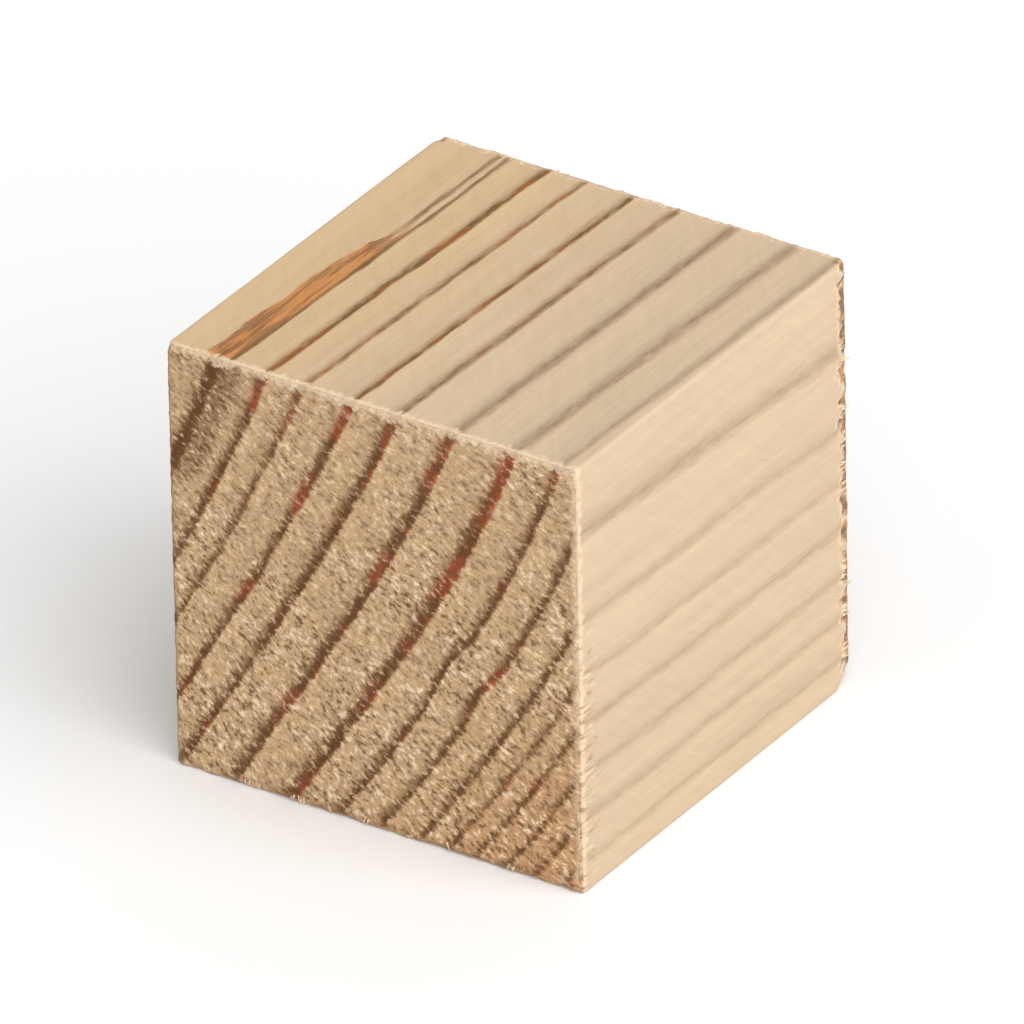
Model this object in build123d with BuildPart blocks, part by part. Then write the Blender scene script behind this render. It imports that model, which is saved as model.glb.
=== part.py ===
"""A small pine cube: one block, crosscut from a square stick with its grain along Y.

The origin is the middle of the underside and +Z is up. The two sawn ends, where
the growth rings show as arcs, face -Y and +Y. The other four faces follow the
grain. The block is a little longer with the grain than it is wide or high.
"""

import os

from build123d import *

# Driving dimensions, in millimetres
WIDTH = 20.0            # across the grain, along X
LENGTH = 20.5           # with the grain, along Y, from one saw cut to the other
HEIGHT = 20.0           # across the grain, along Z
STICK_ARRIS = 0.30      # radius of the four edges that the planed stick already had
SAWN_ARRIS = 0.20       # radius of the eight edges that the two saw cuts left

# Worn corners. Each has the side of the block that it is on, as the signs of X, Y
# and Z, and how far the wear reaches from the sharp corner along X, Y and Z.
WORN_CORNERS = [
    ((1, 1, -1), (0.9, 1.3, 1.1)),      # broken off, low at the back right
    ((-1, -1, 1), (0.55, 0.45, 0.6)),   # rubbed, high at the front left
    ((-1, -1, -1), (0.4, 0.35, 0.4)),   # rubbed, low at the front left
]


def corner_cut(side, reach):
    """Plane across a corner of the block, with its normal pointing out of the wood."""
    side_x, side_y, side_z = side
    reach_x, reach_y, reach_z = reach
    corner = Vector(side_x * WIDTH / 2, side_y * LENGTH / 2, (side_z + 1) * HEIGHT / 2)
    outward = Vector(side_x / reach_x, side_y / reach_y, side_z / reach_z)
    return Plane(origin=corner - Vector(side_x * reach_x, 0, 0), z_dir=outward)


with BuildPart() as wooden_cube:
    with BuildSketch(Plane.XY):
        Rectangle(WIDTH, LENGTH)
    extrude(amount=HEIGHT)

    # The stick was planed first, so its own four edges run on under the saw cuts.
    fillet(wooden_cube.edges().filter_by(Axis.Y), radius=STICK_ARRIS)
    for sawn_end in (Axis.Y, -Axis.Y):
        end_face = wooden_cube.faces().sort_by(sawn_end)[-1]
        fillet(end_face.edges(), radius=SAWN_ARRIS)

    for side, reach in WORN_CORNERS:
        split(bisect_by=corner_cut(side, reach), keep=Keep.BOTTOM)

wooden_cube.part.label = "wooden_cube"

os.makedirs("parts", exist_ok=True)
export_step(wooden_cube.part, "parts/wooden_cube.step")
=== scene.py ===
"""A small pine cube: one block with sawn end grain front and back, and its torn fibres.

The block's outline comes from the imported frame. One field of growth rings, a function of
place in the wood, shapes the relief of all six faces and colours them, so that each ring
runs over the arrises from the end grain into the long grain.
"""

import math

import bpy
from bpy.props import FloatProperty, FloatVectorProperty, IntProperty, PointerProperty
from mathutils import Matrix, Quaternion, Vector


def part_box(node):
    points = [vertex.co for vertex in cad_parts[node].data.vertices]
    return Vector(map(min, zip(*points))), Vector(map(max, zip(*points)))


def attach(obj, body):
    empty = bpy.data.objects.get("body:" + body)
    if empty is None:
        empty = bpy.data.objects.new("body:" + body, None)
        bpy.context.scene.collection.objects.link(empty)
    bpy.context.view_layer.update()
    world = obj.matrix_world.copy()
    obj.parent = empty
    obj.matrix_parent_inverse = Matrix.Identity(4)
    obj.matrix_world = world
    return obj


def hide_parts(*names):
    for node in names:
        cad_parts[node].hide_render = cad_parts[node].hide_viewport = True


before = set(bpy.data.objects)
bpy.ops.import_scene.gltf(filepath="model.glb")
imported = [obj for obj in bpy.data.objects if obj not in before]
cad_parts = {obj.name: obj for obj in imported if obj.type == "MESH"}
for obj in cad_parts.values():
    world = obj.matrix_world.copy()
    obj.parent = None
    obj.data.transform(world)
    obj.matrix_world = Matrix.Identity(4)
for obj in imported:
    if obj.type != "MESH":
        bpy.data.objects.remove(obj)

bl_info = {
    "name": "Pine Cube",
    "version": (1, 0, 0),
    "blender": (4, 5, 0),
    "location": "3D View > Sidebar > Pine Cube",
    "description": "Makes a small sawn pine cube with its growth rings, saw marks and torn fibres",
    "category": "Add Mesh",
}

MM = 0.001                       # metres in a millimetre
NODE = "wooden_cube"
BODY = "root"
LOW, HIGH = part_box(NODE)
SIZE = HIGH - LOW
HALF_WIDTH = SIZE.x / MM / 2     # in millimetres, as every size in the wood is
HALF_LENGTH = SIZE.y / MM / 2
HALF_HEIGHT = SIZE.z / MM / 2
MIDDLE_HEIGHT = (LOW.z + HIGH.z) / 2 / MM      # the wood's own axes start at the block's middle

# Growth rings, in millimetres. The pith was far up to the left of the block. Each ring ends
# in a band of dark latewood: its outer radius, the band's width, how dark the band is on the
# sawn ends and on the long grain, and how far it fades on its bark side on the long grain.
PITH_X = -80.6
PITH_Z = 47.9
GROWTH_RINGS = [
    (82.95, 1.10, 0.66, 0.00, 0.20),
    (84.95, 0.70, 0.95, 1.18, 0.16),
    (86.50, 0.58, 0.76, 0.82, 0.16),
    (88.55, 0.66, 0.92, 0.96, 0.16),
    (90.45, 0.80, 0.95, 0.78, 0.22),
    (92.95, 0.90, 1.00, 0.66, 0.38),
    (95.60, 1.06, 1.05, 0.60, 0.42),
    (97.55, 0.66, 0.92, 0.44, 0.26),
    (99.25, 0.60, 0.86, 0.34, 0.22),
    (100.75, 0.48, 0.84, 0.22, 0.18),
    (101.85, 0.40, 0.74, 0.21, 0.16),
    (102.80, 0.38, 0.82, 0.26, 0.16),
    (103.85, 0.38, 0.82, 0.24, 0.20),
    (104.80, 0.38, 0.76, 0.20, 0.17),
    (105.75, 0.36, 0.76, 0.21, 0.15),
    (106.70, 0.36, 0.76, 0.22, 0.14),
]
INNERMOST_RING = GROWTH_RINGS[0][0]
END_FALL = 0.24                  # how far a band fades on its bark side on the sawn ends
WIDEST_RING = 94.6               # the rings with the widest bands lie round this radius
TWIN_LINE = 0.40                 # from the innermost ring to the thin dark line beside it
RING_BULGE = 0.58                # the rings bend outwards near both sides of the block
RING_BULGE_LEAN = 0.8            # more so low down
CROWDING = 0.12                  # near the top the rings lie closer to the pith,
CROWDING_LEFT = 0.55             # and at the top left closer still
GRAIN_DRIFT = 0.0235             # sideways drift of the grain at the top, for each mm along it
RING_SWAY = 0.16                 # slow wander of each ring in and out
RING_RAGGEDNESS = 0.24           # quick wander, drawn out along the grain
KINK_X = 4.3                     # where a small kink in the rings runs along the block
KINK_Z = -1.6
KINK_DEPTH = 0.36                # how far it bends them towards the pith
KINK_REACH = 2.6                 # how far from its middle it ends

# Worn corners, as part of the block's outline: the side of the block as the signs of X, Y and
# Z, and how far the wear reaches from the sharp corner along each, in millimetres.
WORN_CORNERS = [
    ((1, 1, -1), (0.95, 1.5, 1.3)),
    ((-1, -1, 1), (0.55, 0.45, 0.6)),
    ((-1, -1, -1), (0.4, 0.35, 0.4)),
]

# Arrises that the saw tore, the back ones most: the side of the block, with 0 for the axis
# that the arris follows, then the tear's depth, how far it runs along the grain, the length
# of the fibres left on it, in millimetres, and how many there are.
TORN_ARRISES = [
    ((1, 1, 0), 0.19, 0.82, 0.42, 210),
    ((1, -1, 0), 0.05, 0.26, 0.75, 44),
    ((0, -1, -1), 0.10, 0.24, 0.26, 90),
    ((0, -1, 1), 0.03, 0.14, 0.22, 16),
    ((0, 1, 1), 0.07, 0.30, 0.25, 30),
    ((0, 1, -1), 0.16, 0.60, 0.32, 90),
    ((-1, 1, 0), 0.16, 0.60, 0.50, 120),
    ((-1, -1, 0), 0.04, 0.20, 0.35, 8),
]
SEED_STEP = 10                   # between the seeds of one torn arris and the next
CLUMPING = 0.53                  # fibres hang on only where a noise of 0 to 1 is above this

# Marks of the tools.
BLADE_X = -70.0                  # middle of the saw blade
BLADE_Z = -60.0
SAW_MARKS = 9.0                  # radians of a wave of saw marks for each millimetre
PLANER_LEAN = 0.75               # how the planer's scratches slant along the grain
MAP_GUTTER = 0.012               # space round each face in the map, as a share of the map

# The stage.
BARE_WOOD_SPECULAR = 0.25
FLOOR_REACH = 4.0                # metres from the block to the floor's edges
ROOM_STRENGTH = 0.5              # light from all round; the view behind the block stays white
WINDOW_STRENGTH = 0.85 * math.pi
WINDOW_SOFTNESS = math.radians(70)             # angle that the window fills
WINDOW_AZIMUTH = math.radians(70)              # where it stands, to the right and above
WINDOW_ELEVATION = math.radians(45)


# ---------------------------------------------------------------- nodes as expressions

class Number:
    """A number socket. Operators on it add Math nodes, so that maths reads as it is meant."""

    def __init__(self, tree, socket):
        self.tree = tree
        self.socket = socket

    def __add__(self, other):
        return self.tree.math("ADD", self, other)

    def __sub__(self, other):
        return self.tree.math("SUBTRACT", self, other)

    def __rsub__(self, other):
        return self.tree.math("SUBTRACT", other, self)

    def __mul__(self, other):
        return self.tree.math("MULTIPLY", self, other)

    def __truediv__(self, other):
        return self.tree.math("DIVIDE", self, other)

    def __pow__(self, other):
        return self.tree.math("POWER", self, other)

    def __gt__(self, other):
        return self.tree.math("GREATER_THAN", self, other)

    def __neg__(self):
        return self.tree.math("MULTIPLY", self, -1.0)

    def __abs__(self):
        return self.tree.math("ABSOLUTE", self)

    __radd__ = __add__
    __rmul__ = __mul__


class Tree:
    """Adds nodes to one shader or geometry node tree."""

    def __init__(self, node_tree):
        self.node_tree = node_tree
        node_tree.nodes.clear()

    def node(self, kind, settings=None, sockets=None):
        """Adds a node of a kind, applies its settings, then sets or links its sockets."""
        made = self.node_tree.nodes.new(kind)
        for name, value in (settings or {}).items():
            setattr(made, name, value)
        for name, value in (sockets or {}).items():
            self.feed(made.inputs[name], value)
        return made

    def feed(self, socket, value):
        """Links a socket to another one, or sets its own value."""
        source = getattr(value, "socket", value)
        if isinstance(source, bpy.types.NodeSocket):
            self.node_tree.links.new(source, socket)
        elif hasattr(socket.default_value, "__len__") and len(socket.default_value) == 4:
            socket.default_value = (*source[:3], 1.0)
        else:
            socket.default_value = source

    def math(self, operation, *values, clamp=False):
        made = self.node("ShaderNodeMath", {"operation": operation, "use_clamp": clamp},
                         dict(enumerate(values)))
        return Number(self, made.outputs[0])

    def smallest(self, one, other):
        return self.math("MINIMUM", one, other)

    def largest(self, one, other):
        return self.math("MAXIMUM", one, other)

    def fade(self, value, start, end, curve="SMOOTHSTEP"):
        """0 at start, 1 at end and a smooth or straight way between; start may be above end."""
        made = self.node("ShaderNodeMapRange", {"interpolation_type": curve, "clamp": True},
                         {"Value": value, "From Min": start, "From Max": end})
        return Number(self, made.outputs[0])

    def split(self, vector):
        made = self.node("ShaderNodeSeparateXYZ", None, {0: vector})
        return [Number(self, made.outputs[i]) for i in range(3)]

    def join(self, x, y, z):
        return self.node("ShaderNodeCombineXYZ", None, {0: x, 1: y, 2: z}).outputs[0]

    def vector(self, operation, *vectors, scale=None):
        sockets = dict(enumerate(vectors))
        if scale is not None:
            sockets["Scale"] = scale
        made = self.node("ShaderNodeVectorMath", {"operation": operation}, sockets)
        if operation in ("LENGTH", "DOT_PRODUCT"):
            return Number(self, made.outputs["Value"])
        return made.outputs["Vector"]

    def noise(self, place, scale=1.0, detail=2.0, roughness=0.5, stretch=(1, 1, 1)):
        """Noise of about 0 to 1 round 0.5, with a few features to the millimetre."""
        if stretch != (1, 1, 1):
            place = self.vector("MULTIPLY", place, stretch)
        made = self.node("ShaderNodeTexNoise", None,
                         {"Vector": place, "Scale": scale, "Detail": detail, "Roughness": roughness})
        return Number(self, made.outputs[0])

    def mix(self, factor, one, other):
        """Mixes two colours."""
        made = self.node("ShaderNodeMix", {"data_type": "RGBA"}, {0: factor, 6: one, 7: other})
        return made.outputs[2]

    def random(self, least, most, seed):
        """A number drawn for each point, between two limits."""
        made = self.node("FunctionNodeRandomValue", None, {2: least, 3: most, "Seed": seed})
        return Number(self, made.outputs[1])


# ---------------------------------------------------------------- the wood itself

def ring_radius(tree, place):
    """Distance of a place from the pith in millimetres, with the wander of real rings."""
    x, y, z = tree.split(place)
    x = x - (y + HALF_LENGTH) * (z / HALF_HEIGHT + 1) * (GRAIN_DRIFT / 2)
    straight = tree.vector("LENGTH", tree.join(x - PITH_X, 0.0, z - PITH_Z))
    side = x / HALF_WIDTH
    rise = z / HALF_HEIGHT
    bulge = side * side * (1 - rise * RING_BULGE_LEAN) * RING_BULGE
    upper = tree.largest(rise, 0.0)
    crowding = upper * upper * (tree.largest(-side, 0.0) * CROWDING_LEFT + CROWDING)
    from_kink = tree.vector("LENGTH", tree.join(x - KINK_X, 0.0, z - KINK_Z))
    kink = tree.fade(from_kink, KINK_REACH, 0.0) * KINK_DEPTH
    sway = (tree.noise(place, 0.35, 1.0, stretch=(1, 0.5, 1)) - 0.5) * RING_SWAY
    ragged = (tree.noise(place, 4.5, 2.0, 0.6, stretch=(1, 0.10, 1)) - 0.5) * RING_RAGGEDNESS
    return straight - bulge + crowding + kink + sway + ragged


def latewood(tree, radius):
    """How dark the latewood is on a sawn end and on the long grain, each from 0 to about 1, and
    how far through its ring the wood is: 0 just outside the last band and 1 in its own."""
    on_end = 0.0
    on_long = 0.0
    rings_passed = 0.0
    last = INNERMOST_RING - 2.0
    for outer, width, end_dark, long_dark, long_fall in GROWTH_RINGS:
        rise = tree.fade(radius, outer - width, outer)
        end_fall = tree.fade(radius, outer + END_FALL, outer)
        on_end = rise * end_fall * end_dark + on_end
        fall = tree.fade(radius, outer + long_fall, outer)
        on_long = rise * rise * rise * fall * long_dark + on_long
        rings_passed = tree.fade(radius, last, outer, "LINEAR") + rings_passed
        last = outer
    return on_end, on_long, tree.math("FRACT", rings_passed)


# ---------------------------------------------------------------- the block's shape

def node_group(name, inputs):
    """A geometry node group with one geometry output and named inputs."""
    group = bpy.data.node_groups.new(name, "GeometryNodeTree")
    group.interface.new_socket("Geometry", in_out="OUTPUT", socket_type="NodeSocketGeometry")
    for input_name, kind in inputs:
        group.interface.new_socket(input_name, in_out="INPUT", socket_type="NodeSocket" + kind)
    return group


def end_tree(tree, geometry, material):
    """Closes a tree whose places are in millimetres round the block's middle."""
    place = tree.node("GeometryNodeInputPosition").outputs[0]
    lifted = tree.vector("ADD", place, (0.0, 0.0, MIDDLE_HEIGHT))
    in_metres = tree.vector("SCALE", lifted, scale=MM)
    geometry = tree.node("GeometryNodeRealizeInstances", None, {"Geometry": geometry}).outputs[0]
    geometry = tree.node("GeometryNodeSetPosition", None,
                         {"Geometry": geometry, "Position": in_metres}).outputs[0]
    geometry = tree.node("GeometryNodeSetMaterial", None,
                         {"Geometry": geometry, "Material": material}).outputs[0]
    tree.node("NodeGroupOutput", None, {"Geometry": geometry})


def block_tree():
    """Geometry nodes that shape the block: rounded and torn arrises, relief and broken corners."""
    group = node_group("pine_block_shape", (
        ("Width", "Float"), ("Length", "Float"), ("Height", "Float"), ("Steps across", "Int"),
        ("Steps along", "Int"), ("Stick arris", "Float"), ("Sawn arris", "Float"), ("Wear", "Float"),
        ("End relief", "Float"), ("Side relief", "Float"), ("Material", "Material")))
    tree = Tree(group)
    given = tree.node("NodeGroupInput").outputs
    width, length, height = (Number(tree, given[name]) for name in ("Width", "Length", "Height"))
    steps_across = given["Steps across"]

    grid = tree.node("GeometryNodeMeshCube", None, {
        "Size": (2.0, 2.0, 2.0), "Vertices X": steps_across,
        "Vertices Y": given["Steps along"], "Vertices Z": steps_across}).outputs["Mesh"]
    spot = tree.node("GeometryNodeInputPosition").outputs[0]

    # Each face gets a sixth of the map: a column for each axis and a row for each side.
    facing = tree.node("GeometryNodeFieldOnDomain", {"domain": "FACE", "data_type": "FLOAT_VECTOR"},
                       {0: tree.node("GeometryNodeInputNormal").outputs["Normal"]}).outputs[0]
    on_map = face_map(tree, spot, facing)
    grid = tree.node("GeometryNodeStoreNamedAttribute",
                     {"data_type": "FLOAT2", "domain": "CORNER"},
                     {"Geometry": grid, "Name": "OFBake", "Value": on_map}).outputs[0]

    # Vertices crowd towards the arrises, where the shape turns.
    spread = [part * (1.25 - part * part * 0.25) for part in tree.split(spot)]
    half = tree.join(width / 2, length / 2, height / 2)
    flat = tree.vector("MULTIPLY", tree.join(*spread), half)

    arris = arris_radius(tree, flat, half, given)
    inner = tree.vector("SUBTRACT", half, tree.join(arris, arris, arris))
    core = tree.vector("MAXIMUM", tree.vector("MINIMUM", flat, inner),
                       tree.vector("SCALE", inner, scale=-1.0))
    outward = tree.vector("NORMALIZE", tree.vector("SUBTRACT", flat, core))
    place = tree.vector("ADD", core, tree.vector("SCALE", outward, scale=arris))
    end_grain = tree.fade(abs(tree.split(outward)[1]), 0.45, 0.8)

    depth = face_relief(tree, place, end_grain, given)
    place = tree.vector("SUBTRACT", place, tree.vector("SCALE", outward, scale=depth))
    torn = 0.0
    rim = 0.0
    for side, tear_depth, reach, _, _ in TORN_ARRISES:
        place, in_tear, on_rim = tear(tree, place, half, side, tear_depth, reach)
        torn = tree.largest(in_tear, torn)
        rim = tree.largest(on_rim, rim)
    for side, reach in WORN_CORNERS:
        place = broken_corner(tree, place, half, side, reach)

    for name, value in (("end_grain", end_grain), ("torn", torn), ("rim", rim)):
        grid = tree.node("GeometryNodeStoreNamedAttribute", {"data_type": "FLOAT", "domain": "POINT"},
                         {"Geometry": grid, "Name": name, "Value": value}).outputs[0]
    grid = tree.node("GeometryNodeSetPosition", None, {"Geometry": grid, "Position": place}).outputs[0]
    end_tree(tree, grid, given["Material"])
    return group


def face_map(tree, spot, facing):
    """Each face's own rectangle in the map, with a gutter round it."""
    x, y, z = tree.split(spot)
    face_x, face_y, face_z = tree.split(facing)
    on_x, on_y, on_z = (abs(part) > 0.5 for part in (face_x, face_y, face_z))
    side = face_x + face_y + face_z
    along = side * (on_x * y - on_y * x - on_z * y)
    across = (on_x + on_y) * z + on_z * x
    column = on_y + on_z * 2
    row = side > 0.0
    u = (column + along * (0.5 - MAP_GUTTER * 3) + 0.5) / 3
    v = (row + across * (0.5 - MAP_GUTTER * 2) + 0.5) / 2
    return tree.join(u, v, 0.0)


def arris_radius(tree, flat, half, given):
    """Radius of the nearest arris: rounder and more even where the stick was planed."""
    length_left = tree.split(tree.vector("SUBTRACT", half, tree.vector("ABSOLUTE", flat)))[1]
    planed = tree.fade(length_left, 0.2, 1.0)
    sawn_arris = Number(tree, given["Sawn arris"])
    stick_arris = Number(tree, given["Stick arris"])
    radius = sawn_arris * (1 - planed) + stick_arris * planed
    wander = tree.noise(flat, 0.25, 2.0, stretch=(1, 0.6, 1)) - 0.5
    nicks = (tree.noise(flat, 2.2, 3.0, 0.65) - 0.5) * (1 - planed * 0.85)
    return radius * (1 + (wander * 0.9 + nicks * 1.5) * Number(tree, given["Wear"]))


def tear_reach(tree, along, side, reach):
    """How far from the end a torn arris is torn, in millimetres, at places along it."""
    own = side[0] * 7.0 + side[1] * 13.0 + side[2] * 29.0
    uneven = tree.noise(tree.join(along, own, 0.0), 1.3, 3.0, 0.75) - 0.5
    return tree.largest(uneven * 3.6 + 0.9, 0.0) * reach


def tear(tree, place, half, side, depth, reach):
    """Presses in the long face beside a torn arris, as far as its fibres broke away."""
    across = 0 if side[0] else 2
    gaps = tree.split(tree.vector("SUBTRACT", half, tree.vector("MULTIPLY", place, side)))
    along = tree.split(place)[2 - across]
    limit = tear_reach(tree, along, side, reach)
    inside = tree.fade(gaps[1], limit, limit - 0.14)
    steps = tree.noise(place, 1.6, 2.0, 0.6, stretch=(1, 0.6, 1)) * 1.2 + 0.4
    push = inside * tree.fade(gaps[across], 1.5, 0.0) * steps * depth
    inward = tree.vector("SCALE", (-side[0], 0.0, -side[2]), scale=push)
    deep = min(depth / 0.2, 1.0)
    torn = inside * tree.fade(gaps[across], 0.5, 0.15) * deep
    at_limit = tree.fade(abs(gaps[1] - limit - 0.06), 0.16, 0.04)
    rim = at_limit * tree.fade(gaps[across], 0.2, 0.08) * deep
    return tree.vector("ADD", place, inward), torn, rim


def face_relief(tree, place, end_grain, given):
    """Depth of the surface under the block's outline, in millimetres."""
    end_band, long_band, _ = latewood(tree, ring_radius(tree, place))
    crumbs = tree.fade(tree.noise(place, 2.3, 3.0, 0.7, stretch=(1, 0.2, 1)), 0.66, 0.34)
    end_depth = crumbs * 0.75 + (1 - end_band) * 0.12 + saw_marks(tree, place) * 0.13
    side_depth = (1 - long_band) * 0.6 + planer_marks(tree, place) * 0.4
    return (end_depth * Number(tree, given["End relief"]) * end_grain
            + side_depth * Number(tree, given["Side relief"]) * (1 - end_grain))


def saw_marks(tree, place):
    """Faint arcs that a circular blade left across the sawn ends, 0 to 1."""
    blade = tree.vector("SUBTRACT", place, (BLADE_X, 0.0, BLADE_Z))
    x, _, z = tree.split(blade)
    sweep = tree.vector("LENGTH", tree.join(x, 0.0, z))
    uneven = tree.noise(place, 0.5, 2.0) * 2.0
    return tree.math("SINE", sweep * SAW_MARKS + uneven) * 0.5 + 0.5


def planer_marks(tree, place):
    """Faint slanting scratches across the long grain, 0 to 1."""
    x, y, z = tree.split(place)
    slant = y * PLANER_LEAN + x + z
    return tree.noise(tree.join(slant, (y - x - z) * 0.12, 0.0), 2.2, 1.0, 0.55)


def broken_corner(tree, place, half, side, reach):
    """Presses what lies outside a broken corner back onto its splintered face."""
    outward = Vector(s / r for s, r in zip(side, reach)).normalized()
    corner = tree.vector("MULTIPLY", half, side)
    foot = tree.vector("SUBTRACT", corner, (side[0] * reach[0], 0.0, 0.0))
    over = tree.vector("DOT_PRODUCT", tree.vector("SUBTRACT", place, foot), tuple(outward))
    splinters = (tree.noise(place, 3.0, 2.0, stretch=(1, 0.25, 1)) - 0.5) * 0.14
    over = tree.largest(over + splinters, 0.0)
    return tree.vector("SUBTRACT", place, tree.vector("SCALE", tuple(outward), scale=over))


# ---------------------------------------------------------------- the torn fibres' shape

def fibre_tree():
    """Geometry nodes that scatter torn fibres along the arrises, all from one tapered fibre."""
    group = node_group("torn_fibre_shape", (
        ("Width", "Float"), ("Length", "Float"), ("Height", "Float"), ("Thickness", "Float"),
        ("Plenty", "Float"), ("Seed", "Int"), ("Material", "Material")))
    tree = Tree(group)
    given = tree.node("NodeGroupInput").outputs
    width, length, height = (Number(tree, given[name]) for name in ("Width", "Length", "Height"))
    half = tree.join(width / 2, length / 2, height / 2)

    bend = tree.node("GeometryNodeCurveQuadraticBezier", None, {
        "Resolution": 4, "Start": (0.0, -0.15, -0.02), "Middle": (0.0, 0.5, 0.08),
        "End": (0.0, 1.0, 0.02)}).outputs[0]
    taper = 1.15 - Number(tree, tree.node("GeometryNodeSplineParameter").outputs["Factor"])
    outline = tree.node("GeometryNodeCurvePrimitiveCircle", None,
                        {"Resolution": 4, "Radius": given["Thickness"]}).outputs[0]
    fibre = tree.node("GeometryNodeCurveToMesh", None, {
        "Curve": bend, "Profile Curve": outline, "Scale": taper, "Fill Caps": True}).outputs[0]

    tufts = tree.node("GeometryNodeJoinGeometry")
    for number, (side, _, reach, fibre_length, count) in enumerate(TORN_ARRISES):
        seed = Number(tree, given["Seed"]) + number * SEED_STEP
        points, kept, direction, up, scale = tuft(
            tree, half, seed, side, reach, fibre_length, Number(tree, given["Plenty"]) * count)
        turned = tree.node("FunctionNodeAxesToRotation", {"primary_axis": "Y", "secondary_axis": "Z"},
                           {"Primary Axis": direction, "Secondary Axis": up}).outputs[0]
        placed = tree.node("GeometryNodeInstanceOnPoints", None, {
            "Points": points, "Selection": kept, "Instance": fibre, "Rotation": turned,
            "Scale": scale}).outputs[0]
        tree.feed(tufts.inputs[0], placed)
    end_tree(tree, tufts.outputs[0], given["Material"])
    return group


def tuft(tree, half, seed, side, reach, fibre_length, count):
    """Roots, directions, upper sides and sizes of the fibres on one arris, in clumps. They lie
    along the grain, or at the base hang down over the sawn end, and stay clear of the floor."""
    across = 0 if side[0] else 2
    along = 2 - across
    half_size = tree.split(half)
    root = [0.0, 0.0, 0.0]
    root[along] = tree.random(-0.86, 0.88, seed) * half_size[along]
    length = tree.random(0.35, 1.25, seed + 1) * fibre_length
    lift = tree.random(-0.02, 0.12, seed + 2)
    turn = tree.random(-0.28, 0.28, seed + 3)
    inset = tree.random(0.0, 0.14, seed + 4)
    direction = [turn * 2 if side[2] < 0 else turn, 0.0, turn]
    up = [0.0, 0.0, 0.0]
    if side[2] < 0:
        root[1] = (half_size[1] - 0.04) * side[1]
        root[2] = -(half_size[2] - length - 0.09)
        direction[1] = lift * side[1] * 2
        direction[2] = -0.8
        up[1] = side[1]
    else:
        if side[1] > 0:
            inset = inset + tear_reach(tree, root[along], side, reach)
        else:
            inset = inset + length * 0.15 + 0.06
        root[1] = (half_size[1] - inset) * side[1]
        root[across] = (half_size[across] - 0.03) * side[across]
        direction[1] = 1.0
        direction[across] = lift * side[across] * (1.0 if side[1] > 0 else 0.4)
        up[across] = side[across]
    roots = tree.join(*root)
    points = tree.node("GeometryNodePoints", None, {"Count": count, "Position": roots}).outputs[0]
    kept = tree.noise(roots, 0.7, 2.0, 0.6) > CLUMPING
    breadth = tree.random(0.6, 2.2, seed + 5)
    scale = tree.join(breadth, length, tree.random(0.4, 0.9, seed + 6))
    return points, kept, tree.join(*direction), tree.join(*up), scale


# ---------------------------------------------------------------- finish

def wood_place(tree):
    """A place in the wood, in millimetres from the block's middle."""
    object_place = tree.node("ShaderNodeTexCoord").outputs["Object"]
    return tree.vector("SUBTRACT", tree.vector("SCALE", object_place, scale=1 / MM),
                       (0.0, 0.0, MIDDLE_HEIGHT))


def pine_finish(settings):
    """Bare pine: end grain, long grain, arrises and the resin streak, all from place in the wood."""
    material = bpy.data.materials.new("bare_pine")
    material.use_nodes = True
    tree = Tree(material.node_tree)
    place = wood_place(tree)
    end_grain, torn, rim = (
        Number(tree, tree.node("ShaderNodeAttribute", {"attribute_name": name}).outputs["Fac"])
        for name in ("end_grain", "torn", "rim"))

    radius = ring_radius(tree, place)
    end_band, long_band, age = latewood(tree, radius)
    long_color, long_height = long_grain(tree, place, radius, age, long_band, settings)
    end_color, end_height = sawn_end(tree, place, radius, age, end_band, settings)

    patches = tree.noise(place, 2.6, 2.0, 0.7, stretch=(1, 0.5, 1))
    crushed = sawn_border(tree, place, patches)
    end_side = tree.fade(end_grain + (patches - 0.5) * crushed * 2.5, 0.45, 0.6)
    color = tree.mix(end_side, long_color, end_color)
    color = tree.mix(crushed * (1 - torn) * 0.75, color, settings.torn_fibre)
    color = frayed_color(tree, place, color, patches, settings)
    color = torn_color(tree, color, patches, torn, rim, settings)
    height = end_height * end_grain + long_height * (1 - end_grain)
    bump = tree.node("ShaderNodeBump", None, {"Strength": 1.0, "Distance": MM, "Height": height})
    roughness = end_side * 0.12 + 0.68
    shader = tree.node("ShaderNodeBsdfPrincipled", None, {
        "Base Color": color, "Roughness": roughness, "Specular IOR Level": BARE_WOOD_SPECULAR,
        "Normal": bump.outputs[0]})
    tree.node("ShaderNodeOutputMaterial", None, {"Surface": shader.outputs[0]})
    return material


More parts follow.
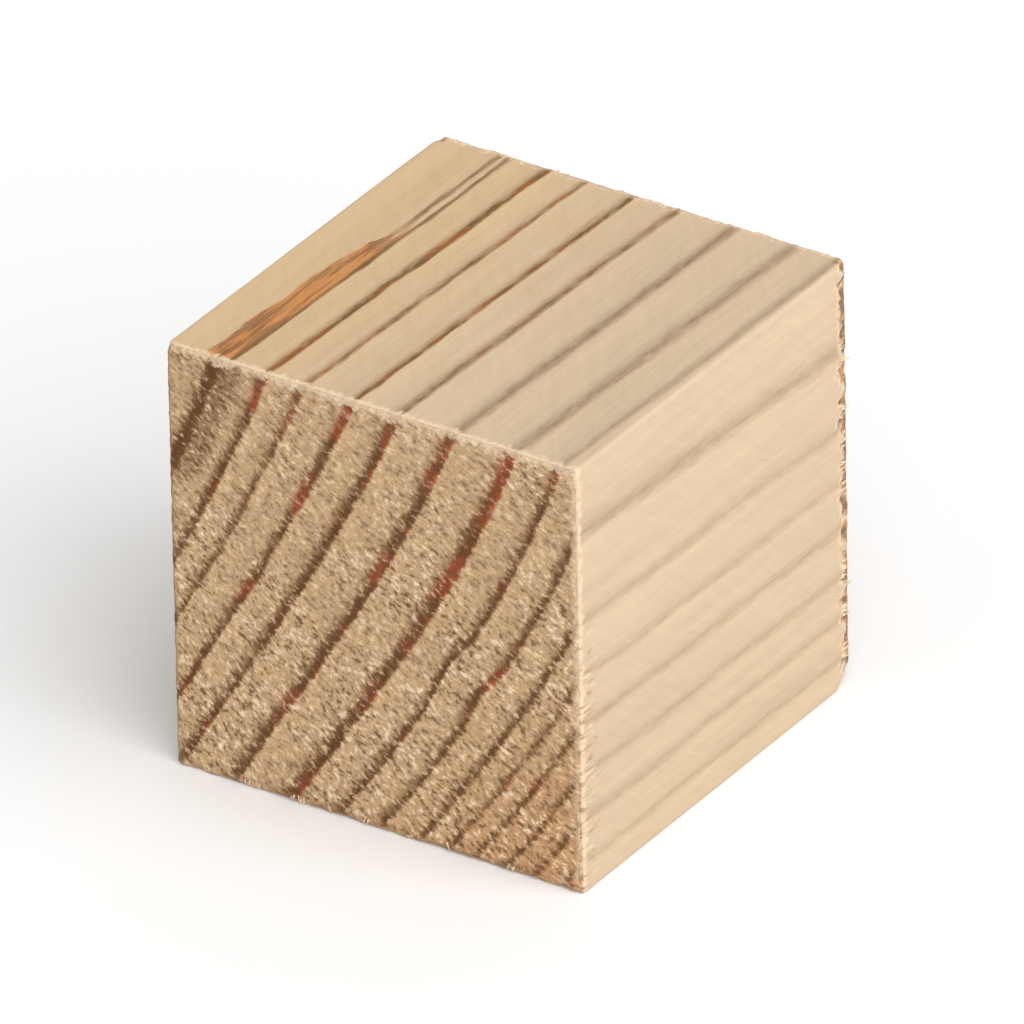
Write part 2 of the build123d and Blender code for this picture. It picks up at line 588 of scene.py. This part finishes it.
def sawn_end(tree, place, radius, age, band, settings):
    """Colour and height in millimetres of a sawn end: cells torn along the rays, painted glints of light
    and painted shade in the pits.
    """
    x, y, z = tree.split(place)
    round_ring = tree.math("ARCTAN2", z - PITH_Z, x - PITH_X) * WIDEST_RING
    cells = tree.noise(tree.join(round_ring * 5.2, y * 1.5, radius * 3.1), 1.0, 2.0, 0.65)
    crumbs = tree.noise(place, 2.6, 2.0, 0.65, stretch=(1, 0.4, 1))
    stretches = tree.noise(tree.join(round_ring * 0.32, y * 0.1, radius * 0.8), 1.0, 2.0, 0.55)
    rough = tree.fade(tree.noise(place, 0.28, 1.0) - z * 0.012, 0.38, 0.62) * 0.5 + 0.5

    smudge = tree.fade(abs(radius - INNERMOST_RING - 0.45), 1.15, 0.3) * tree.fade(z, 2.0, 5.0)
    near_top = tree.fade(z, HALF_HEIGHT * 0.68, HALF_HEIGHT)
    wide_rings = tree.fade(abs(radius - WIDEST_RING), 3.2, 1.0)
    red = tree.fade(stretches + near_top * 0.20 + wide_rings * 0.10 - smudge, 0.54, 0.74)
    late = tree.mix(red, settings.end_late, settings.end_red)
    amber = tree.fade(x - z, 7.0, 17.5)
    early = tree.mix(amber * 0.8, settings.end_early, settings.end_amber)
    early = tree.mix(band * 0.55, early, settings.end_warm)
    darkness = band ** 1.25 * (stretches * 1.3 + 0.3) + smudge * 0.62
    mottled = darkness + (0.5 - cells) * tree.smallest(band * 4 + smudge, 1.0) * 1.15
    color = tree.mix(tree.fade(mottled, 0.05, 1.05), early, late)
    shade = (cells - 0.5) * 1.5 * rough + (crumbs - 0.5) * 0.7 + (0.5 - age) * 0.16 + 1
    color = tree.vector("SCALE", color, scale=tree.largest(shade, 0.2))
    grains = cells + (crumbs - 0.5) * 0.4 - smudge * 0.04
    # Painted highlights: pale glints of light on the torn cell walls, fewer on the latewood.
    glints = tree.fade(grains, 0.57, 0.68) * (1 - band * 0.7) * rough
    color = tree.mix(glints, color, settings.end_painted_glint)
    # Painted shade: the torn pits darkened where the cells sit lowest.
    pits = tree.fade(grains, 0.43, 0.33) * rough
    color = tree.mix(pits * 0.75, color, settings.end_pit_shade)
    return color, cells * 0.18


def long_grain(tree, place, radius, age, band, settings):
    """Colour and height in millimetres of the long grain: fibres, ring lines and resin."""
    fibres = tree.noise(place, 11.0, 2.0, 0.6, stretch=(1, 0.03, 1))
    streaks = tree.noise(place, 1.6, 1.0, 0.5, stretch=(1, 0.05, 1))
    planer = planer_marks(tree, place)

    stretches = tree.noise(place, 0.5, 2.0, 0.6, stretch=(1, 0.8, 1))
    heartward = tree.fade(radius, 91.5, 89.0)
    warmer = tree.fade(stretches, 0.44, 0.58) * heartward
    late = tree.mix(warmer, settings.long_late, settings.long_amber)
    greyer = tree.fade(radius, 91.5, 94.0) * tree.fade(radius, 99.0, 98.0)
    late = tree.mix(greyer, late, settings.long_grey)
    broken = tree.noise(place, 3.6, 2.0, 0.7, stretch=(1, 0.25, 1)) * 1.7 + 0.15
    early = tree.mix(tree.fade(radius + (stretches - 0.5) * 9, 84.0, 93.0), settings.long_early,
                     settings.long_outer)
    early = tree.mix(tree.fade(radius, 98.0, 107.0), early, settings.long_bark)
    color = tree.mix(tree.smallest(band * broken, 1.0), early, late)
    color = resin_streak(tree, place, radius, fibres, color, settings)

    shade = ((fibres - 0.5) * 0.20 + (streaks - 0.5) * 0.18 + (planer - 0.5) * 0.12
             + (0.5 - age) * 0.08 + 1)
    return tree.vector("SCALE", color, scale=shade), fibres * 0.014


def resin_streak(tree, place, radius, fibres, color, settings):
    """The resin that follows the innermost ring over the front half, and the twin lines behind."""
    _, y, z = tree.split(place)
    ring = INNERMOST_RING
    blotches = tree.noise(place, 1.0, 2.0, 0.65, stretch=(1, 0.35, 1))
    ragged = (blotches - 0.5) * 4 + (fibres - 0.5) * 5
    left = ring - 0.72 + tree.fade(y, -2.0, 3.4) * 0.75 + (blotches - 0.5) * 0.7
    right = ring + TWIN_LINE
    inside = tree.fade(radius, left, left + 0.12) * tree.fade(radius, right + 0.06, right)
    front = tree.fade(y + ragged, 4.2, 0.6)
    shallow = tree.fade(z, 5.0, 9.0) * 0.85 + 0.15
    spots = tree.noise(place, 2.0, 2.0, 0.6, stretch=(1, 0.16, 1))
    richest = tree.fade(abs(y + 2.5), 4.5, 1.0) * 0.08
    orange = tree.fade(spots + (fibres - 0.5) * 0.6 + richest, 0.44, 0.60)
    tone = tree.mix(orange, settings.resin_dark, settings.resin)
    strength = tree.fade(spots, 0.36, 0.50) * 0.15 + 0.78
    color = tree.mix(inside * front * strength * shallow, color, tone)
    twin = tree.fade(abs(radius - ring - TWIN_LINE), 0.15, 0.04)
    color = tree.mix(twin * (blotches + 0.3), color, settings.long_late)
    own_line = tree.fade(abs(radius - ring), 0.16, 0.04) * (1 - front)
    return tree.mix(own_line * (blotches + 0.2), color, settings.long_late)


def sawn_border(tree, place, patches):
    """How crushed and pale the wood is beside the top, right and lower sawn arrises, 0 to 1."""
    x, y, z = tree.split(place)
    to_side = tree.smallest(tree.smallest(HALF_HEIGHT - z, HALF_WIDTH - x), HALF_HEIGHT + z + 0.12)
    to_end = HALF_LENGTH - abs(y)
    return tree.fade(tree.largest(to_side, to_end) + (patches - 0.5) * 1.1, 0.42, 0.18)


def frayed_color(tree, place, color, patches, settings):
    """Streaks of lifted fibres and painted shade in the gaps between them, beside the front right arris."""
    x, y, z = tree.split(place)
    streaks = tree.noise(place, 4.2, 1.0, 0.5, stretch=(1, 0.22, 1))
    lower = tree.fade(z, HALF_HEIGHT * 0.5, 0.0)
    inward = y + HALF_LENGTH + (patches - 0.5) * 3.0
    on_right = tree.fade(x, HALF_WIDTH - 0.3, HALF_WIDTH - 0.1)
    frayed = tree.fade(inward, 1.4, 0.2) * lower * on_right
    color = tree.mix(frayed * tree.fade(streaks, 0.54, 0.66) * 0.8, color, settings.torn_fibre)
    # Painted shade in the gaps between the lifted fibres.
    return tree.mix(frayed * tree.fade(streaks, 0.44, 0.36) * 0.85, color, settings.frayed_gap_shade)


def torn_color(tree, color, patches, torn, rim, settings):
    """Amber broken wood in the tears with painted shade in its darker splits, and pale splinters round
    them.
    """
    # Broken amber wood in the tears, partly real colour and partly painted shade in the darker splits.
    broken_wood_and_shade = tree.mix(tree.fade(patches, 0.44, 0.60), settings.torn_split_shade, settings.torn_amber)
    broken_wood_and_shade = tree.mix(tree.fade(patches, 0.61, 0.70), broken_wood_and_shade, settings.torn_fibre)
    color = tree.mix(torn * 0.85, color, broken_wood_and_shade)
    return tree.mix(rim * 0.7, color, settings.torn_fibre)


def fibre_finish(settings):
    """Torn fibres: cream, with tan ones among them."""
    material = bpy.data.materials.new("torn_fibres")
    material.use_nodes = True
    tree = Tree(material.node_tree)
    place = wood_place(tree)
    tan = tree.fade(tree.noise(place, 2.0, 2.0), 0.46, 0.62)
    color = tree.mix(tan * 0.6, settings.cream, settings.tan)
    grain = tree.noise(place, 20.0, 2.0, 0.6, stretch=(1, 0.1, 1))
    color = tree.vector("SCALE", color, scale=grain * 0.3 + 0.85)
    shader = tree.node("ShaderNodeBsdfPrincipled", None, {
        "Base Color": color, "Roughness": 0.75, "Specular IOR Level": BARE_WOOD_SPECULAR})
    tree.node("ShaderNodeOutputMaterial", None, {"Surface": shader.outputs[0]})
    return material


# ---------------------------------------------------------------- helpers for pieces

def made_by_nodes(name, group, inputs):
    """Runs a geometry node group on an empty mesh and keeps the result as a plain mesh."""
    start = bpy.data.objects.new(name, bpy.data.meshes.new(name + "_start"))
    bpy.context.scene.collection.objects.link(start)
    modifier = start.modifiers.new(name, "NODES")
    modifier.node_group = group
    for item in group.interface.items_tree:
        if item.in_out == "INPUT" and item.name in inputs:
            modifier[item.identifier] = inputs[item.name]
    evaluated = start.evaluated_get(bpy.context.evaluated_depsgraph_get())
    mesh = bpy.data.meshes.new_from_object(evaluated)
    mesh.name = name
    start.modifiers.remove(modifier)
    start.data = mesh
    return start


# ---------------------------------------------------------------- settings, operators, panel

def wood_color(name, description, default):
    return FloatVectorProperty(name=name, description=description, subtype="COLOR",
                               min=0, max=1, default=default)


class BlockSettings(bpy.types.PropertyGroup):
    """Sizes and colours of the block."""

    width: FloatProperty(name="Width", description="Across the grain, along X",
                         default=SIZE.x, unit="LENGTH")
    length: FloatProperty(name="Length", description="With the grain, along Y",
                          default=SIZE.y, unit="LENGTH")
    height: FloatProperty(name="Height", description="Across the grain, along Z",
                          default=SIZE.z, unit="LENGTH")
    steps_across: IntProperty(name="Steps across", description="Vertices across the grain",
                              default=145, min=8)
    steps_along: IntProperty(name="Steps along", description="Vertices along the grain",
                             default=99, min=8)
    stick_arris: FloatProperty(name="Planed arris",
                               description="Radius of the edges that run with the grain",
                               default=0.19 * MM, unit="LENGTH", precision=5)
    sawn_arris: FloatProperty(name="Sawn arris", description="Radius of the edges round the sawn ends",
                              default=0.20 * MM, unit="LENGTH", precision=5)
    wear: FloatProperty(name="Wear", description="How unevenly the arrises are worn",
                        default=1.0, min=0, max=2)
    end_relief: FloatProperty(name="End relief", description="Depth of the torn end grain",
                              default=0.11 * MM, unit="LENGTH", precision=5)
    side_relief: FloatProperty(name="Side relief", description="Depth of the soft wood on the long grain",
                               default=0.02 * MM, unit="LENGTH", precision=5)
    long_early: wood_color("Long grain, early", "Earlywood on the long grain", (0.622, 0.442, 0.258))
    long_outer: wood_color("Long grain, outer", "Paler earlywood towards the bark", (0.625, 0.474, 0.317))
    long_bark: wood_color("Long grain, bark side", "The outermost earlywood", (0.575, 0.438, 0.291))
    long_late: wood_color("Long grain, late", "Latewood on the long grain", (0.205, 0.104, 0.034))
    long_amber: wood_color("Long grain, amber", "Warmer stretches of it", (0.300, 0.115, 0.030))
    long_grey: wood_color("Long grain, grey", "Greyer latewood towards the bark", (0.245, 0.146, 0.076))
    resin: wood_color("Resin", "The streak of resin along the innermost ring", (0.560, 0.235, 0.072))
    resin_dark: wood_color("Resin, dark", "Its darker stretches", (0.270, 0.098, 0.022))
    end_early: wood_color("End grain, early", "Earlywood on the sawn ends", (0.570, 0.376, 0.206))
    end_amber: wood_color("End grain, amber", "Warmer earlywood of the narrow rings", (0.570, 0.315, 0.150))
    end_warm: wood_color("End grain, warm", "Where the earlywood turns to latewood", (0.330, 0.165, 0.062))
    end_late: wood_color("End grain, late", "Latewood on the sawn ends", (0.140, 0.055, 0.015))
    end_red: wood_color("End grain, red", "Redder stretches of it", (0.330, 0.078, 0.028))
    # Painted highlight: the colour of the glints of light on the sawn ends.
    end_painted_glint: wood_color("End grain, glints", "Pale cell walls in the light", (0.880, 0.700, 0.495))
    # Painted shade inside the torn pits of the sawn ends.
    end_pit_shade: wood_color("End grain, pits", "Inside the torn pits", (0.150, 0.070, 0.022))
    torn_fibre: wood_color("Torn fibre", "Crushed and torn fibres", (0.840, 0.650, 0.435))
    # Painted shade: the colour of the gaps between the lifted fibres.
    frayed_gap_shade: wood_color("Frayed gap", "Between the lifted fibres", (0.420, 0.235, 0.120))
    # The tears' colours: broken amber wood, and painted shade in its darker splits.
    torn_amber: wood_color("Torn wood", "Broken wood along a torn arris", (0.500, 0.262, 0.108))
    torn_split_shade: wood_color("Torn wood, dark", "The darker splits in it", (0.150, 0.062, 0.022))


class FibreSettings(bpy.types.PropertyGroup):
    """Sizes and colours of the torn fibres."""

    thickness: FloatProperty(name="Thickness", description="Radius of a fibre at its root",
                             default=0.030 * MM, unit="LENGTH", precision=5)
    plenty: FloatProperty(name="Plenty", description="How many fibres hang on, as a share",
                          default=1.0, min=0, max=2)
    seed: IntProperty(name="Seed", description="Another draw of the fibres", default=3)
    cream: wood_color("Cream", "Most of the fibres", (0.850, 0.670, 0.450))
    tan: wood_color("Tan", "The darker fibres", (0.560, 0.340, 0.170))


class StageSettings(bpy.types.PropertyGroup):
    """The floor, the light and the view."""

    floor: FloatVectorProperty(name="Floor", description="Colour of the floor", subtype="COLOR",
                               default=(0.93, 0.93, 0.93))
    azimuth: FloatProperty(name="Azimuth", description="Turn of the view about the block",
                           subtype="ANGLE", default=math.radians(33.9))
    elevation: FloatProperty(name="Elevation", description="Height of the view above the horizon",
                             subtype="ANGLE", default=math.radians(30.2))
    roll: FloatProperty(name="Roll", description="Tilt of the camera", subtype="ANGLE",
                        default=math.radians(-1.1))
    distance: FloatProperty(name="Distance", description="From the camera to the block's middle",
                            default=1.1, unit="LENGTH")
    field: FloatProperty(name="Field", description="Width of the view at the block",
                         default=42 * MM, unit="LENGTH")


class PINE_OT_block(bpy.types.Operator):
    """Makes the block of pine"""

    bl_idname = "pine_cube.block"
    bl_label = "Pine block"

    def execute(self, context):
        settings = context.scene.pine_block
        group = block_tree()
        block = made_by_nodes("pine_block", group, {
            "Width": settings.width / MM, "Length": settings.length / MM, "Height": settings.height / MM,
            "Steps across": settings.steps_across, "Steps along": settings.steps_along,
            "Stick arris": settings.stick_arris / MM, "Sawn arris": settings.sawn_arris / MM,
            "Wear": settings.wear, "End relief": settings.end_relief / MM,
            "Side relief": settings.side_relief / MM, "Material": pine_finish(settings)})
        block.data.shade_smooth()
        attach(block, BODY)
        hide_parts(NODE)
        return {"FINISHED"}


class PINE_OT_fibres(bpy.types.Operator):
    """Makes the torn fibres along the arrises"""

    bl_idname = "pine_cube.fibres"
    bl_label = "Torn fibres"

    def execute(self, context):
        settings = context.scene.pine_fibres
        block = context.scene.pine_block
        fibres = made_by_nodes("torn_fibres", fibre_tree(), {
            "Width": block.width / MM, "Length": block.length / MM, "Height": block.height / MM,
            "Thickness": settings.thickness / MM, "Plenty": settings.plenty, "Seed": settings.seed,
            "Material": fibre_finish(settings)})
        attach(fibres, BODY)
        return {"FINISHED"}


class PINE_OT_stage(bpy.types.Operator):
    """Makes the floor, the light and the camera"""

    bl_idname = "pine_cube.stage"
    bl_label = "Stage"

    def execute(self, context):
        settings = context.scene.pine_stage
        make_floor(settings)
        make_light(context.scene)
        make_camera(context.scene, settings)
        context.scene.view_settings.view_transform = "Standard"
        return {"FINISHED"}


def make_floor(settings):
    mesh = bpy.data.meshes.new("floor")
    corners = [(-1, -1), (1, -1), (1, 1), (-1, 1)]
    mesh.from_pydata([(x * FLOOR_REACH, y * FLOOR_REACH, LOW.z) for x, y in corners], [],
                     [(0, 1, 2, 3)])
    floor = bpy.data.objects.new("floor", mesh)
    bpy.context.scene.collection.objects.link(floor)
    material = bpy.data.materials.new("pale_floor")
    material.use_nodes = True
    tree = Tree(material.node_tree)
    shader = tree.node("ShaderNodeBsdfPrincipled", None,
                       {"Base Color": settings.floor, "Roughness": 0.9, "Specular IOR Level": 0.0})
    tree.node("ShaderNodeOutputMaterial", None, {"Surface": shader.outputs[0]})
    mesh.materials.append(material)


def make_light(scene):
    world = bpy.data.worlds.new("soft_room")
    world.use_nodes = True
    tree = Tree(world.node_tree)
    seen = Number(tree, tree.node("ShaderNodeLightPath").outputs["Is Camera Ray"])
    strength = seen * (1 - ROOM_STRENGTH) + ROOM_STRENGTH
    background = tree.node("ShaderNodeBackground", None,
                           {"Color": (1.0, 1.0, 1.0), "Strength": strength})
    tree.node("ShaderNodeOutputWorld", None, {"Surface": background.outputs[0]})
    scene.world = world
    sun = bpy.data.lights.new("window", "SUN")
    sun.energy = WINDOW_STRENGTH
    sun.angle = WINDOW_SOFTNESS
    lamp = bpy.data.objects.new("window", sun)
    scene.collection.objects.link(lamp)
    lamp.rotation_mode = "QUATERNION"
    back = towards(WINDOW_AZIMUTH, WINDOW_ELEVATION)
    lamp.rotation_quaternion = back.to_track_quat("Z", "Y")


def towards(azimuth, elevation):
    """Direction from the block to something seen at an azimuth and an elevation."""
    return Vector((math.sin(azimuth) * math.cos(elevation),
                   -math.cos(azimuth) * math.cos(elevation), math.sin(elevation)))


def make_camera(scene, settings):
    data = bpy.data.cameras.new("camera")
    camera = bpy.data.objects.new("camera", data)
    scene.collection.objects.link(camera)
    back = towards(settings.azimuth, settings.elevation)
    data.lens = data.sensor_width * settings.distance / settings.field
    data.clip_start = settings.distance / 100
    data.clip_end = settings.distance * 10
    camera.rotation_mode = "QUATERNION"
    camera.location = (LOW + HIGH) / 2 + back * settings.distance
    level = (-back).to_track_quat("-Z", "Y")
    camera.rotation_quaternion = level @ Quaternion((0, 0, 1), settings.roll)
    scene.camera = camera


class PINE_PT_panel(bpy.types.Panel):
    """Lists what makes the cube"""

    bl_label = "Pine Cube"
    bl_idname = "PINE_PT_panel"
    bl_space_type = "VIEW_3D"
    bl_region_type = "UI"
    bl_category = "Pine Cube"

    def draw(self, context):
        for operator, settings in STEPS:
            box = self.layout.box()
            for name in getattr(context.scene, settings).bl_rna.properties.keys():
                if name not in ("rna_type", "name"):
                    box.prop(getattr(context.scene, settings), name)
            box.operator(operator)


STEPS = [("pine_cube.block", "pine_block"), ("pine_cube.fibres", "pine_fibres"),
         ("pine_cube.stage", "pine_stage")]
CLASSES = (BlockSettings, FibreSettings, StageSettings, PINE_OT_block, PINE_OT_fibres,
           PINE_OT_stage, PINE_PT_panel)


def register():
    for cls in CLASSES:
        bpy.utils.register_class(cls)
    bpy.types.Scene.pine_block = PointerProperty(type=BlockSettings)
    bpy.types.Scene.pine_fibres = PointerProperty(type=FibreSettings)
    bpy.types.Scene.pine_stage = PointerProperty(type=StageSettings)


def unregister():
    del bpy.types.Scene.pine_stage
    del bpy.types.Scene.pine_fibres
    del bpy.types.Scene.pine_block
    for cls in reversed(CLASSES):
        bpy.utils.unregister_class(cls)


def main():
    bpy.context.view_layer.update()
    register()
    bpy.ops.pine_cube.block()
    bpy.ops.pine_cube.fibres()
    bpy.ops.pine_cube.stage()


if __name__ == "__main__":
    main()
